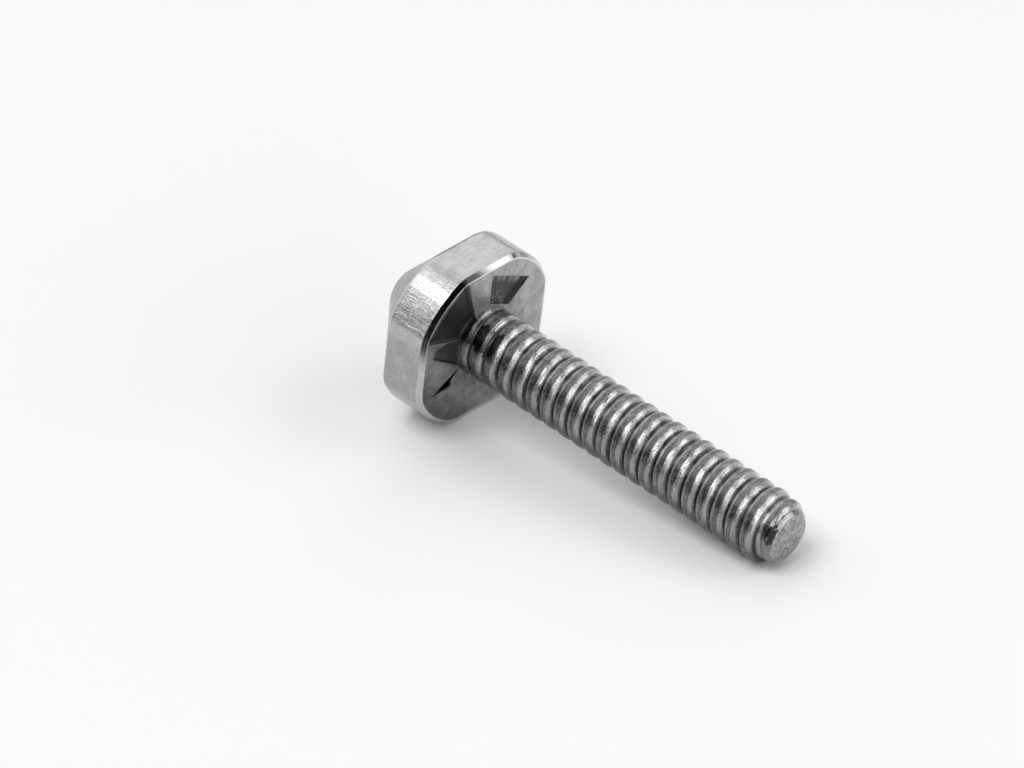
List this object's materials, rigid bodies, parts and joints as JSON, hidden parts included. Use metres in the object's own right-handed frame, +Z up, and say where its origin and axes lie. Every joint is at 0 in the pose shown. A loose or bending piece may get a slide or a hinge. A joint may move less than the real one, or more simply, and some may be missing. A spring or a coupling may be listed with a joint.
{
  "type": "machine screw",
  "caption": "Machine screw with a thick trimmed head, rounded conical crown, pockets in the seat under the head, coarse right-hand thread and short plain point.",
  "frame": {"origin": "on the surface that the screw lies on, under the middle of its bounding box", "axes": "+X from the head towards the tip, +Z up; the screw's own axis dips 7.7 degrees below +X, as it lies on its head's flat and its last full thread"},
  "size_m": [0.044, 0.0152, 0.0157],
  "materials": {
    "steel": "bright steel, finely brushed and scratched on the head, rolled on the thread"
  },
  "bodies": {
    "root": {"machine_screw": "steel"}
  },
  "joints": []
}
